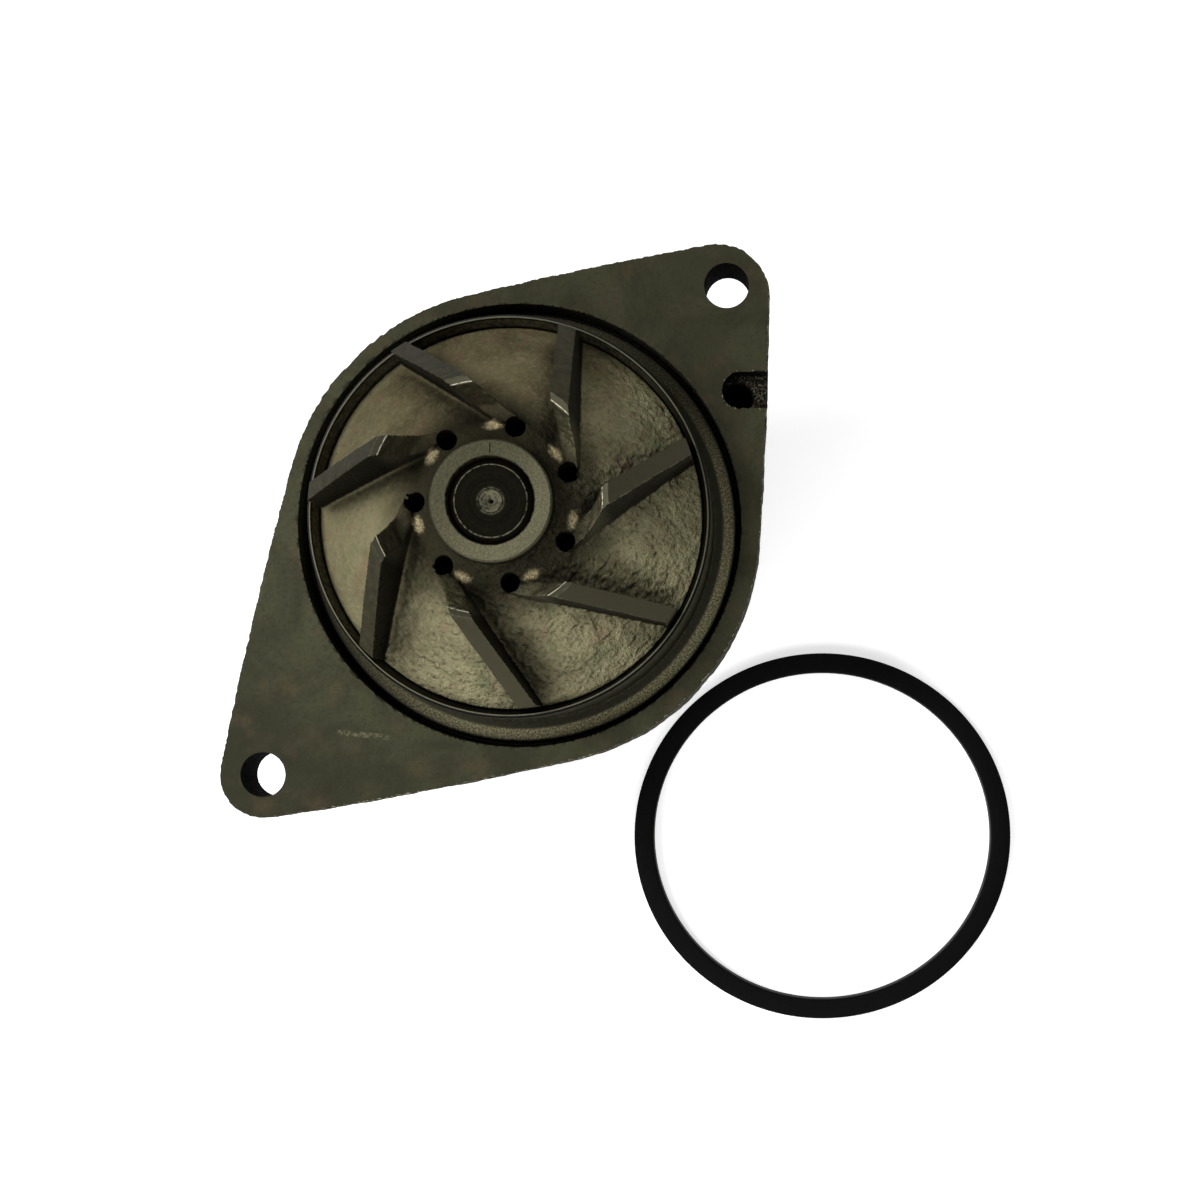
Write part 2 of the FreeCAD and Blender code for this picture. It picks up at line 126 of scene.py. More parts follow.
class Shader:
    """A small wrapper that adds nodes to one material, with positions measured in millimetres."""

    def __init__(self, name):
        self.material = bpy.data.materials.new(name)
        self.material.use_nodes = True
        self.nodes = self.material.node_tree.nodes
        self.links = self.material.node_tree.links
        self.bsdf = self.nodes["Principled BSDF"]
        coordinates = self.nodes.new("ShaderNodeTexCoord")
        self.position = self.vector_math("SCALE", coordinates.outputs["Object"], scale=1 / MM)

    def set(self, socket, value):
        if isinstance(value, bpy.types.NodeSocket):
            self.links.new(value, socket)
        else:
            socket.default_value = value

    def vector_math(self, operation, a, b=None, scale=None):
        node = self.nodes.new("ShaderNodeVectorMath")
        node.operation = operation
        self.set(node.inputs[0], a)
        if b is not None:
            self.set(node.inputs[1], b)
        if scale is not None:
            self.set(node.inputs["Scale"], scale)
        return node.outputs["Value"] if operation in ("LENGTH", "DISTANCE") else node.outputs["Vector"]

    def math(self, operation, a, b=0.0):
        node = self.nodes.new("ShaderNodeMath")
        node.operation = operation
        self.set(node.inputs[0], a)
        self.set(node.inputs[1], b)
        return node.outputs[0]

    def times(self, a, b):
        return self.math("MULTIPLY", a, b)

    def plus(self, a, b):
        return self.math("ADD", a, b)

    def minus(self, a, b):
        return self.math("SUBTRACT", a, b)

    def most(self, a, b):
        return self.math("MAXIMUM", a, b)

    def axes(self, vector=None):
        node = self.nodes.new("ShaderNodeSeparateXYZ")
        self.set(node.inputs[0], vector or self.position)
        return node.outputs[0], node.outputs[1], node.outputs[2]

    def radius(self, x0=0.0, y0=0.0):
        """Distance from a line parallel to Z, in millimetres."""
        flat = self.vector_math("MULTIPLY", self.position, (1, 1, 0))
        return self.vector_math("DISTANCE", flat, (x0, y0, 0))

    def noise(self, size, detail, roughness, distortion=0.0):
        """Noise from 0 to 1 whose features are about size millimetres across."""
        node = self.nodes.new("ShaderNodeTexNoise")
        scale = 1 / size
        self.set(node.inputs["Vector"], self.vector_math("MULTIPLY", self.position, (scale, scale, scale)))
        node.inputs["Scale"].default_value = 1.0
        node.inputs["Detail"].default_value = detail
        node.inputs["Roughness"].default_value = roughness
        node.inputs["Distortion"].default_value = distortion
        return node.outputs["Fac"]

    def rings(self, size):
        """Noise that changes only with the distance from the shaft axis."""
        place = self.nodes.new("ShaderNodeCombineXYZ")
        self.set(place.inputs[0], self.math("DIVIDE", self.radius(), size))
        node = self.nodes.new("ShaderNodeTexNoise")
        node.inputs["Scale"].default_value = 1.0
        self.set(node.inputs["Vector"], place.outputs[0])
        return node.outputs["Fac"]

    def spoke_angle(self, first):
        """Degrees round Z to the nearest of the vanes' evenly spaced spokes, the first at this angle."""
        x, y, _ = self.axes()
        turns = self.times(self.math("ARCTAN2", y, x), VANE_COUNT / TAU)
        share = self.math("FRACT", self.plus(turns, 0.5 - first * VANE_COUNT / 360))
        return self.times(self.minus(share, 0.5), 360 / VANE_COUNT)

    def stroke(self, centre, angle, half_length, half_width):
        """1 along a short straight mark in the XY plane, fading at its ends and sides."""
        x, y, _ = self.axes()
        dx = self.minus(x, centre[0])
        dy = self.minus(y, centre[1])
        cosine, sine = math.cos(math.radians(angle)), math.sin(math.radians(angle))
        along = self.plus(self.times(dx, cosine), self.times(dy, sine))
        across = self.minus(self.times(dy, cosine), self.times(dx, sine))
        return self.times(self.step(self.math("ABSOLUTE", along), half_length, half_length * 0.7),
                          self.step(self.math("ABSOLUTE", across), half_width, half_width * 0.4))

    def step(self, value, low, high):
        """0 below low, 1 above high, smooth between; high may be the smaller one."""
        node = self.nodes.new("ShaderNodeMapRange")
        node.interpolation_type = "SMOOTHSTEP"
        self.set(node.inputs["Value"], value)
        flip = high < low
        node.inputs["From Min"].default_value = min(low, high)
        node.inputs["From Max"].default_value = max(low, high)
        node.inputs["To Min"].default_value = 1.0 if flip else 0.0
        node.inputs["To Max"].default_value = 0.0 if flip else 1.0
        return node.outputs["Result"]

    def band(self, value, low, high, edge):
        """1 between low and high, 0 outside."""
        return self.times(self.step(value, low - edge, low + edge),
                          self.step(value, high + edge, high - edge))

    def mix(self, factor, a, b):
        node = self.nodes.new("ShaderNodeMix")
        node.data_type = "RGBA"
        self.set(node.inputs["Factor"], factor)
        for socket, value in ((node.inputs["A"], a), (node.inputs["B"], b)):
            colour_socket = [s for s in node.inputs if s.name == socket.name and s.type == "RGBA"][0]
            self.set(colour_socket, value if isinstance(value, bpy.types.NodeSocket) else (*value, 1))
        return [s for s in node.outputs if s.type == "RGBA"][0]

    def blend_values(self, factor, a, b):
        node = self.nodes.new("ShaderNodeMix")
        node.data_type = "FLOAT"
        self.set(node.inputs["Factor"], factor)
        self.set(node.inputs["A"], a)
        self.set(node.inputs["B"], b)
        return node.outputs["Result"]

    def attribute(self, name):
        node = self.nodes.new("ShaderNodeAttribute")
        node.attribute_name = name
        return node.outputs["Fac"]

    def painted_corner_shade(self, reach_mm):
        """Mask for painted shade: 1 deep in a corner of the same piece, 0 in the open."""
        node = self.nodes.new("ShaderNodeAmbientOcclusion")
        node.samples = 6
        node.only_local = True
        node.inputs["Distance"].default_value = reach_mm * MM
        return self.step(node.outputs["AO"], 0.95, 0.35)

    def dull_edges(self, level):
        """Keeps steep walls from mirroring the bright floor."""
        self.bsdf.inputs["Specular IOR Level"].default_value = level
        self.bsdf.inputs["Specular Tint"].default_value = (level, level, level, 1)

    def normal_up(self):
        """How far the surface faces up or down the shaft axis, from -1 to 1."""
        node = self.nodes.new("ShaderNodeTexCoord")
        return self.axes(node.outputs["Normal"])[2]

    def bump(self, height, depth_mm, strength):
        node = self.nodes.new("ShaderNodeBump")
        node.inputs["Distance"].default_value = depth_mm * MM
        self.set(node.inputs["Strength"], strength)
        self.set(node.inputs["Height"], height)
        return node.outputs["Normal"]

    def finish(self, colour, roughness, normal=None, metallic=0.0):
        rgba = colour if isinstance(colour, bpy.types.NodeSocket) else (*colour, 1)
        self.set(self.bsdf.inputs["Base Color"], rgba)
        self.set(self.bsdf.inputs["Roughness"], roughness)
        self.set(self.bsdf.inputs["Metallic"], metallic)
        if normal is not None:
            self.links.new(normal, self.bsdf.inputs["Normal"])
        return self.material


def srgb(red, green, blue):
    """Linear colour from 0-255 display values."""
    def linear(value):
        value /= 255
        return value / 12.92 if value <= 0.04045 else ((value + 0.055) / 1.055) ** 2.4
    return linear(red), linear(green), linear(blue)


# ---------------------------------------------------------------- materials

def flange_face(s, fine, speck):
    """Oxidised machined face: broad mottling, brown patches, painted shade on the far ear (-X) for its weaker
    sheen, and one scuff.
    """
    x, _, _ = s.axes()
    mottle = s.step(s.noise(15, 5, 0.62, distortion=0.8), 0.36, 0.66)
    colour = s.mix(mottle, srgb(64, 64, 48), srgb(52, 52, 39))
    # painted shade: the far ear (-X) is darker, standing in for the face's weaker sheen there
    far_ear_shade = s.times(s.step(x, -45, -68), 0.55)
    colour = s.mix(far_ear_shade, colour, srgb(38, 38, 28))
    brown = s.times(s.step(s.noise(8, 3, 0.5), 0.50, 0.72), 0.5)
    colour = s.mix(brown, colour, srgb(74, 65, 49))
    colour = s.mix(s.times(s.step(fine, 0.45, 0.75), 0.45), colour, srgb(44, 44, 34))
    colour = s.mix(s.times(s.step(speck, 0.62, 0.75), 0.3), colour, srgb(86, 84, 68))
    scuff = s.stroke(SCUFF, SCUFF_ANGLE, 6.0, 0.75)
    return s.mix(s.times(scuff, s.step(fine, 0.42, 0.6)), colour, srgb(92, 90, 72))


def seat_floor(s, y, r, fine, speck):
    """Floor of the seal seat: a grainy outer band with painted light, brightest towards -Y, with painted
    glints in its grain, and a relief groove painted black as shade.
    """
    # painted light: the grain is lighter towards -Y, where the light falls on it
    light = s.step(y, 10, -35)
    grain = s.mix(light, srgb(54, 52, 41), srgb(94, 90, 68))
    # painted highlights: bright glints on the grain's flecks, brighter towards -Y
    glint_flecks = s.mix(light, srgb(80, 78, 60), srgb(158, 152, 118))
    grain = s.mix(s.step(speck, 0.4, 0.65), grain, glint_flecks)
    outer_band = s.times(s.step(r, 40.3, 41.0), s.step(r, 43.0, 42.5))
    colour = s.mix(outer_band, s.mix(fine, srgb(40, 40, 32), srgb(64, 63, 51)), grain)
    # painted shade: the relief groove is painted black, with a grey line along its floor
    colour = s.mix(s.step(r, 42.9, 43.2), colour, srgb(7, 7, 6))
    return s.mix(s.band(r, 43.65, 43.85, 0.1), colour, srgb(52, 51, 42))


def spigot_wall(s, y, z, r, fine):
    """Pilot spigot: a bright line round its dark lip as a painted highlight, and a bore with painted shadow,
    dark towards -Y.
    """
    colour = s.mix(s.step(fine, 0.35, 0.65), srgb(44, 43, 34), srgb(80, 78, 61))
    colour = s.mix(s.step(z, 11.8, 12.1), colour, srgb(16, 16, 13))
    # painted highlight: a bright line on the edge of the bore
    bright = s.mix(fine, srgb(70, 69, 55), srgb(120, 118, 98))
    colour = s.mix(s.band(r, 38.1, 38.38, 0.06), colour, bright)
    # painted shadow: the bore goes dark towards -Y
    bore = s.times(s.step(r, 38.12, 38.0), s.step(y, 12, -22))
    return s.mix(bore, colour, srgb(9, 9, 7))


def body_iron():
    """Grey iron: machined and oxidised on the flange face, seat and spigot, as cast elsewhere; with painted
    light and shade on the seat and spigot, and painted shade in holes, slots and corners.
    """
    s = Shader("body_iron")
    _, y, z = s.axes()
    r = s.radius()
    up = s.normal_up()
    fine = s.noise(0.9, 4, 0.65)
    speck = s.noise(0.35, 2, 0.6)
    face = s.times(s.step(z, -0.35, -0.1), s.step(r, 44.1, 44.3))
    seat = s.times(s.band(r, 38.9, 44.3, 0.05), s.band(z, -6, -0.3, 0.1))
    spigot = s.times(s.step(r, 39.2, 38.9), s.step(z, -4.5, -3.0))
    colour = s.mix(s.step(fine, 0.3, 0.7), srgb(48, 48, 38), srgb(76, 74, 59))
    colour = s.mix(face, colour, flange_face(s, fine, speck))
    colour = s.mix(seat, colour, seat_floor(s, y, r, fine, speck))
    colour = s.mix(spigot, colour, spigot_wall(s, y, z, r, fine))
    # painted shade: the bolt holes' walls, the weep hole below its rim, the slot's walls and the corners go
    # near black
    walls = s.times(s.step(up, 0.5, 0.1), s.step(r, 39.0, 39.6))
    at_bolts = s.most(s.step(s.radius(*BOLT_PLUS), 5.6, 5.2), s.step(s.radius(*BOLT_MINUS), 5.6, 5.2))
    weep = s.times(s.step(s.radius(*WEEP_HOLE), 3.5, 3.2), s.step(z, -4.2, -4.6))
    slot = s.times(s.step(s.radius(*WEEP_OUTLET), 7.6, 7.2), s.band(z, -6.0, -0.2, 0.1))
    # the weep slot: a dark floor with bright specks as painted glints
    sparkle = s.mix(s.step(speck, 0.5, 0.66), srgb(22, 21, 16), srgb(104, 101, 82))
    colour = s.mix(slot, colour, sparkle)
    slot_wall_shade = s.times(slot, s.step(up, 0.6, 0.3))
    holes = s.most(s.times(walls, at_bolts), s.most(weep, s.times(s.painted_corner_shade(4.0), 0.7)))
    dark = s.most(holes, slot_wall_shade)
    colour = s.mix(dark, colour, srgb(8, 8, 6))
    nicks = s.times(s.attribute("rim"), s.step(s.noise(0.8, 3, 0.7), 0.5, 0.6))
    colour = s.mix(nicks, colour, srgb(168, 164, 134))
    smooth = s.most(face, spigot)
    roughness = s.blend_values(smooth, 0.7, s.plus(s.times(fine, 0.2), 0.42))
    roughness = s.blend_values(dark, roughness, 1.0)
    relief = s.plus(fine, s.times(speck, 0.4))
    normal = s.bump(relief, 0.2, s.blend_values(smooth, 0.9, 0.14))
    s.dull_edges(0.2)
    return s.finish(colour, roughness, normal, metallic=0.5)


def cast_skin(s, x, r, up, grain, grained_and_lit):
    """Sand-cast skin of the plate and the vanes' sides: smooth and warm, or pale and pitted on the coarse
    side; painted light makes it lighter towards -X and -Y, and painted shade darkens the vane sides, the
    corners and the plate near the hub.
    """
    patches = s.step(s.noise(12, 4, 0.6, distortion=0.5), 0.35, 0.7)
    smooth_colour = s.mix(patches, srgb(126, 118, 88), srgb(92, 84, 60))
    # painted light: the smooth skin is lighter towards -X
    smooth_colour = s.mix(s.times(s.step(x, 5, -20), 0.6), smooth_colour, srgb(156, 149, 116))
    # painted light: the coarse side towards -Y is lighter, and its pale tops and dark pits are stronger where
    # grazing light shows the grain
    lit_grain_colour = s.mix(patches, srgb(176, 170, 133), srgb(136, 131, 101))
    colour = s.mix(grained_and_lit, smooth_colour, lit_grain_colour)
    pale = s.times(s.step(grain, 0.5, 0.7), s.blend_values(grained_and_lit, 0.15, 0.5))
    colour = s.mix(pale, colour, srgb(188, 180, 146))
    pits = s.times(s.step(grain, 0.45, 0.26), s.blend_values(grained_and_lit, 0.25, 0.6))
    colour = s.mix(pits, colour, srgb(46, 42, 31))
    pink = s.times(s.step(s.noise(4.5, 3, 0.5), 0.54, 0.72), 0.35)
    colour = s.mix(pink, colour, srgb(140, 104, 86))
    green = s.times(s.step(s.noise(5.5, 3, 0.5), 0.46, 0.30), 0.35)
    colour = s.mix(green, colour, srgb(104, 118, 78))
    # painted shade: the plate near the hub goes dark
    shade_near_hub = s.times(s.step(s.plus(r, s.times(patches, 3.0)), 25.0, 16.0), 0.9)
    colour = s.mix(shade_near_hub, colour, srgb(34, 31, 22))
    # painted shade in the vanes' roots and corners
    colour = s.mix(s.times(s.painted_corner_shade(7.0), 0.85), colour, srgb(24, 22, 16))
    # painted shade: the steep vane sides go near black
    walls = s.times(s.step(up, 0.75, 0.25), s.blend_values(s.step(r, 18.0, 22.0), 0.5, 0.95))
    return s.mix(walls, colour, srgb(22, 21, 16))


def foot_highlights(s, r, up, grain):
    """1 on the painted highlight at the foot beside each balance hole: an ellipse with a ragged edge."""
    along = s.times(s.spoke_angle(FOOT_PAD_ANGLE), RING_MM_PER_DEGREE)
    across = s.minus(r, FOOT_PAD_RING)
    far = s.math("SQRT", s.plus(s.math("POWER", s.math("DIVIDE", along, 1.8), 2.0),
                                s.math("POWER", s.math("DIVIDE", across, 0.95), 2.0)))
    return s.times(s.step(s.plus(far, s.times(grain, 1.2)), 1.9, 0.9), s.step(up, 0.3, 0.5))


def vane_top_skin(s, y):
    """Machined tops of the vanes, with painted light making them lighter towards -Y."""
    colour = s.mix(s.step(s.noise(1.6, 4, 0.6), 0.3, 0.7), srgb(54, 52, 37), srgb(70, 67, 50))
    # painted light: lighter towards -Y
    return s.mix(s.step(y, 5, -25), colour, srgb(76, 73, 57))


def hub_face(s, y, r, grain, speckle):
    """Machined end of the hub: painted light makes it lighter towards -Y; scored once, with a black stain
    round the bore.
    """
    # painted light: lighter towards -Y
    light = s.step(y, 8, -9)
    colour = s.mix(s.step(speckle, 0.3, 0.7), s.mix(light, srgb(60, 59, 45), srgb(84, 82, 64)),
                   s.mix(light, srgb(80, 78, 60), srgb(108, 105, 82)))
    score = s.stroke(HUB_SCORE, HUB_SCORE_ANGLE, 1.0, 0.14)
    stain = s.step(s.plus(r, s.times(grain, 1.2)), 8.75, 8.4)
    return s.mix(s.most(score, stain), colour, srgb(16, 15, 11))


def impeller_iron():
    """Sand-cast grain on the plate and vane sides, machined skin on the vane tops and hub."""
    s = Shader("impeller_iron")
    x, y, z = s.axes()
    r = s.radius()
    up = s.normal_up()
    grained_and_lit = s.step(y, 16, -12)
    grain = s.noise(0.8, 3, 0.55)
    speckle = s.noise(0.33, 2, 0.6)
    machined = s.attribute("machined")
    colour = cast_skin(s, x, r, up, grain, grained_and_lit)
    # painted highlight: a bright patch on the ridge at each vane's foot
    foot_highlight_colour = s.mix(s.step(speckle, 0.3, 0.7), srgb(128, 116, 84), srgb(206, 192, 152))
    colour = s.mix(s.times(foot_highlights(s, r, up, grain), 0.85), colour, foot_highlight_colour)
    vane_top = s.times(machined, s.step(r, 20.0, 20.4))
    colour = s.mix(vane_top, colour, vane_top_skin(s, y))
    chamfer = s.times(vane_top, s.step(r, 21.95, 21.85))
    colour = s.mix(chamfer, colour, srgb(74, 72, 58))
    # painted highlight: a bright line along the vanes' inner-end chamfers
    chamfer_highlight = s.times(s.times(vane_top, s.step(grain, 0.35, 0.5)), s.step(r, 20.8, 20.68))
    colour = s.mix(chamfer_highlight, colour, srgb(186, 181, 156))
    # painted highlight: a bright line along the edges of the vane tops, stronger towards -Y
    brink = s.times(s.band(machined, 0.3, 0.7, 0.2), s.band(r, 21.0, 36.0, 0.5))
    brink_glint = s.times(s.step(grain, 0.3, 0.55), s.blend_values(s.step(y, 10, -20), 0.2, 0.8))
    colour = s.mix(s.times(brink, brink_glint), colour, srgb(150, 146, 118))
    hub = s.times(machined, s.times(s.step(r, 11.6, 11.3), s.step(z, 30.0, 30.6)))
    colour = s.mix(hub, colour, hub_face(s, y, r, grain, speckle))
    smooth = s.most(hub, vane_top)
    relief = s.plus(grain, s.times(speckle, 0.35))
    strength = s.blend_values(smooth, s.blend_values(grained_and_lit, 0.2, 1.0), 0.03)
    s.dull_edges(0.2)
    return s.finish(colour, s.blend_values(smooth, 0.7, 0.5), s.bump(relief, 0.9, strength), metallic=0.6)


def turned_steel(name, dark, light, ring_size, metallic):
    """Steel with fine concentric turning marks of uneven strength."""
    s = Shader(name)
    rings = s.rings(ring_size)
    streak = s.noise(0.5, 3, 0.6)
    colour = s.mix(s.step(s.plus(rings, streak), 0.7, 1.3), dark, light)
    roughness = s.plus(s.times(streak, 0.2), 0.35)
    return s.finish(colour, roughness, s.bump(s.plus(rings, streak), 0.03, 0.5), metallic)


def shaft_steel():
    """Darkened steel shaft: faint turning rings, a bright rubbed edge, bright swirl marks round its centre,
    and a centre drill painted bright as a painted reflection.
    """
    s = Shader("shaft_steel")
    r = s.radius()
    rings = s.rings(0.6)
    streak = s.noise(0.8, 4, 0.65)
    colour = s.mix(s.step(s.plus(rings, streak), 0.75, 1.3), srgb(16, 15, 10), srgb(27, 25, 17))
    patchy = s.step(streak, 0.35, 0.6)
    rubbed_edge = s.times(s.band(r, 6.5, 6.72, 0.08), patchy)
    colour = s.mix(rubbed_edge, colour, srgb(122, 119, 100))
    swirl = s.times(s.step(r, 2.9, 2.2), s.step(s.rings(0.28), 0.42, 0.62))
    colour = s.mix(s.times(swirl, patchy), colour, srgb(92, 91, 74))
    # painted reflection: the deep centre drill is painted bright, as its cone reflects light from the sides
    centre_drill_reflection = s.mix(patchy, srgb(58, 56, 44), srgb(112, 109, 88))
    colour = s.mix(s.band(r, 0.4, 2.0, 0.15), colour, centre_drill_reflection)
    roughness = s.plus(s.times(streak, 0.25), 0.55)
    s.dull_edges(0.2)
    return s.finish(colour, roughness, s.bump(s.plus(rings, streak), 0.03, 0.5), 0.7)


def rubber(name, dark, light, roughness, specular):
    """Matt moulded rubber with a very fine bloom."""
    s = Shader(name)
    fine = s.noise(0.4, 3, 0.6)
    broad = s.noise(9, 3, 0.5)
    colour = s.mix(s.step(s.plus(fine, broad), 0.7, 1.3), dark, light)
    s.bsdf.inputs["Specular IOR Level"].default_value = specular
    rough = s.plus(s.times(broad, 0.2), roughness)
    return s.finish(colour, rough, s.bump(fine, 0.015, 0.6))


def plain_speckled(name, dark, light, size, roughness, bump_mm, metallic=0.0):
    """Even surface with fine colour variation and a little relief."""
    s = Shader(name)
    fine = s.noise(size, 4, 0.6)
    broad = s.noise(size * 14, 3, 0.5)
    shade = s.times(s.plus(fine, broad), 0.5)
    colour = s.mix(s.step(shade, 0.3, 0.7), dark, light)
    rough = s.plus(s.times(s.minus(broad, 0.5), 0.25), roughness)
    return s.finish(colour, rough, s.bump(fine, bump_mm, 0.6), metallic)


MATERIALS = {
    "body_iron": body_iron(),
    "impeller_iron": impeller_iron(),
    "shaft_steel": shaft_steel(),
    "bearing_steel": turned_steel("bearing_steel", srgb(120, 120, 118), srgb(170, 170, 166), 0.6, 0.9),
    "spring_steel": plain_speckled("spring_steel", srgb(110, 110, 106), srgb(150, 150, 146),
                                   size=0.6, roughness=0.38, bump_mm=0.01, metallic=0.9),
    "pulley_paint": plain_speckled("pulley_paint", srgb(24, 24, 24), srgb(36, 36, 35),
                                   size=0.7, roughness=0.42, bump_mm=0.03, metallic=0.2),
    "seal_brass": plain_speckled("seal_brass", srgb(150, 120, 62), srgb(186, 154, 88),
                                 size=0.8, roughness=0.35, bump_mm=0.01, metallic=0.9),
    "seal_rubber": rubber("seal_rubber", srgb(20, 20, 20), srgb(30, 30, 30), 0.6, 0.4),
    "flange_rubber": rubber("flange_rubber", srgb(2, 2, 2), srgb(5, 5, 5), 0.5, 0.08),
    "carbon": plain_speckled("carbon", srgb(30, 30, 31), srgb(44, 44, 45),
                             size=0.4, roughness=0.4, bump_mm=0.01),
    "ceramic": plain_speckled("ceramic", srgb(222, 216, 200), srgb(236, 232, 220),
                              size=0.5, roughness=0.3, bump_mm=0.005),
    "cage_nylon": plain_speckled("cage_nylon", srgb(188, 180, 150), srgb(206, 198, 170),
                                 size=0.7, roughness=0.5, bump_mm=0.01),
}


def paint(obj, material):
    obj.data.materials.clear()
    obj.data.materials.append(material)


for part in frame["record"]["subparts"]:
    paint(frame["nodes"][part["node"]], MATERIALS[part["material_slot"]])


# ---------------------------------------------------------------- cast pieces

class Casting:
    """CAD nodes remade as one even fine mesh, so that the cast skin can be softened and roughened while the
    machined surfaces stay true. Positions are in millimetres."""

    def __init__(self, nodes, name, voxel_mm):
        joined = bmesh.new()
        for node in nodes:
            joined.from_mesh(frame["nodes"][node].data)
        blank = bpy.data.objects.new(name, bpy.data.meshes.new(name))
        joined.to_mesh(blank.data)
        joined.free()
        bpy.context.scene.collection.objects.link(blank)
        remesh = blank.modifiers.new("remesh", "REMESH")
        remesh.mode = "VOXEL"
        remesh.voxel_size = voxel_mm * MM
        graph = bpy.context.evaluated_depsgraph_get()
        self.mesh = bpy.data.meshes.new_from_object(blank.evaluated_get(graph))
        blank.modifiers.clear()
        blank.data = self.mesh
        self.object = blank
        self.nodes = nodes
        self.voxel = voxel_mm
        self.edges = np.zeros(len(self.mesh.edges) * 2, int)
        self.mesh.edges.foreach_get("vertices", self.edges)
        self.edges = self.edges.reshape(-1, 2)
        self.points = self.read("co") / MM
        self.valence = np.bincount(self.edges.ravel(), minlength=len(self.points)).astype(float)
        self.machined = np.zeros(len(self.points))
        self.rim = np.zeros(len(self.points))

    def read(self, what):
        values = np.zeros(len(self.mesh.vertices) * 3)
        self.mesh.vertices.foreach_get(what, values)
        return values.reshape(-1, 3)

    def write(self):
        self.mesh.vertices.foreach_set("co", (self.points * MM).ravel())
        self.mesh.update()

    def averaged(self, values):
        """Mean of each vertex's neighbours, for a column of values."""
        first, second = self.edges[:, 0], self.edges[:, 1]
        count = len(values)
        total = np.bincount(first, values[second], count) + np.bincount(second, values[first], count)
        return total / self.valence

    def soften(self, rounds):
        """Rounds the cast skin and its roots; machined points stay where they are."""
        free = (self.machined < 0.5)[:, None]
        for _ in range(rounds):
            mean = np.column_stack([self.averaged(self.points[:, axis]) for axis in range(3)])
            self.points = np.where(free, (self.points + mean) / 2, self.points)

    def true_up(self, profile, centre=(0.0, 0.0), low=-EVERYWHERE, high=EVERYWHERE):
        """Moves points that lie close to a turned profile of (radius, z) corners exactly onto it."""
        reach = SNAP * self.voxel
        flat = self.points[:, :2] - centre
        radius = np.maximum(np.hypot(flat[:, 0], flat[:, 1]), 1e-6)
        place = np.column_stack([radius, self.points[:, 2]])
        best = np.full(len(place), EVERYWHERE)
        target = place.copy()
        corners = np.array(profile, float)
        for start, end in zip(corners, corners[1:]):
            run = end - start
            share = np.clip((place - start) @ run / (run @ run), 0, 1)
            nearest = start + share[:, None] * run
            gap = np.linalg.norm(place - nearest, axis=1)
            closer = gap < best
            best = np.where(closer, gap, best)
            target[closer] = nearest[closer]
        for corner in corners:
            at_corner = np.linalg.norm(place - corner, axis=1) < CORNER_SNAP * self.voxel
            target[at_corner] = corner
        near = (best < reach) & (self.points[:, 2] > low) & (self.points[:, 2] < high)
        self.points[near, :2] = (centre + flat * (target[:, 0] / radius)[:, None])[near]
        self.points[near, 2] = target[near, 1]
        self.machined[near] = 1.0

    def true_slot(self, start, angle, half_width, depth):
        """Moves points near the wall of a round-ended slot, cut down from z = 0, exactly onto it."""
        direction = (math.cos(math.radians(angle)), math.sin(math.radians(angle)))
        flat = self.points[:, :2] - start
        along = np.maximum(flat @ direction, 0)
        spine = np.outer(along, direction)
        off = flat - spine
        distance = np.maximum(np.linalg.norm(off, axis=1), 1e-6)
        reach = SNAP * self.voxel
        height = self.points[:, 2]
        near = (np.abs(distance - half_width) < reach) & (height > -depth) & (height < reach)
        self.points[near, :2] = (start + spine + off * (half_width / distance)[:, None])[near]
        self.machined[near] = 1.0

    def roughen(self, layers, strength=1.0):
        """Adds cast relief along the normals: layers of (feature size, height) in millimetres."""
        self.write()
        normals = self.read("normal")
        share = 1 - self.machined
        for _ in range(3):
            share = np.minimum(share, (share + self.averaged(share)) / 2)
        relief = np.zeros(len(self.points))
        for size, height in layers:
            for index, point in enumerate(self.points / size):
                if share[index] > 0.02:
                    relief[index] += height * noise.noise(Vector(point))
        self.points += normals * (relief * share * strength)[:, None]

    def nick(self, chosen, size, depth):
        """Knocks small dents into the chosen edge points, and marks them for the material."""
        self.machined[chosen] = 0.0
        self.rim[chosen] = 1.0
        normals = self.read("normal")
        for index in np.flatnonzero(chosen):
            dent = depth * max(0.0, noise.noise(Vector(self.points[index] / size)))
            self.points[index] -= normals[index] * dent

    def finish(self, material, body):
        """Keeps the mesh inside its nodes' box, and puts it in their place on the body."""
        corners = [corner for node in self.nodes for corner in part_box(node)]
        self.points = np.clip(self.points, np.min(corners, axis=0) / MM, np.max(corners, axis=0) / MM)
        self.write()
        for name, values in (("rim", self.rim), ("machined", self.machined)):
            attribute = self.mesh.attributes.new(name, "FLOAT", "POINT")
            attribute.data.foreach_set("value", values)
        self.mesh.shade_smooth()
        self.mesh.set_sharp_from_angle(angle=math.radians(CREASE))
        paint(self.object, MATERIALS[material])
        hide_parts(*self.nodes)
        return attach(self.object, body)


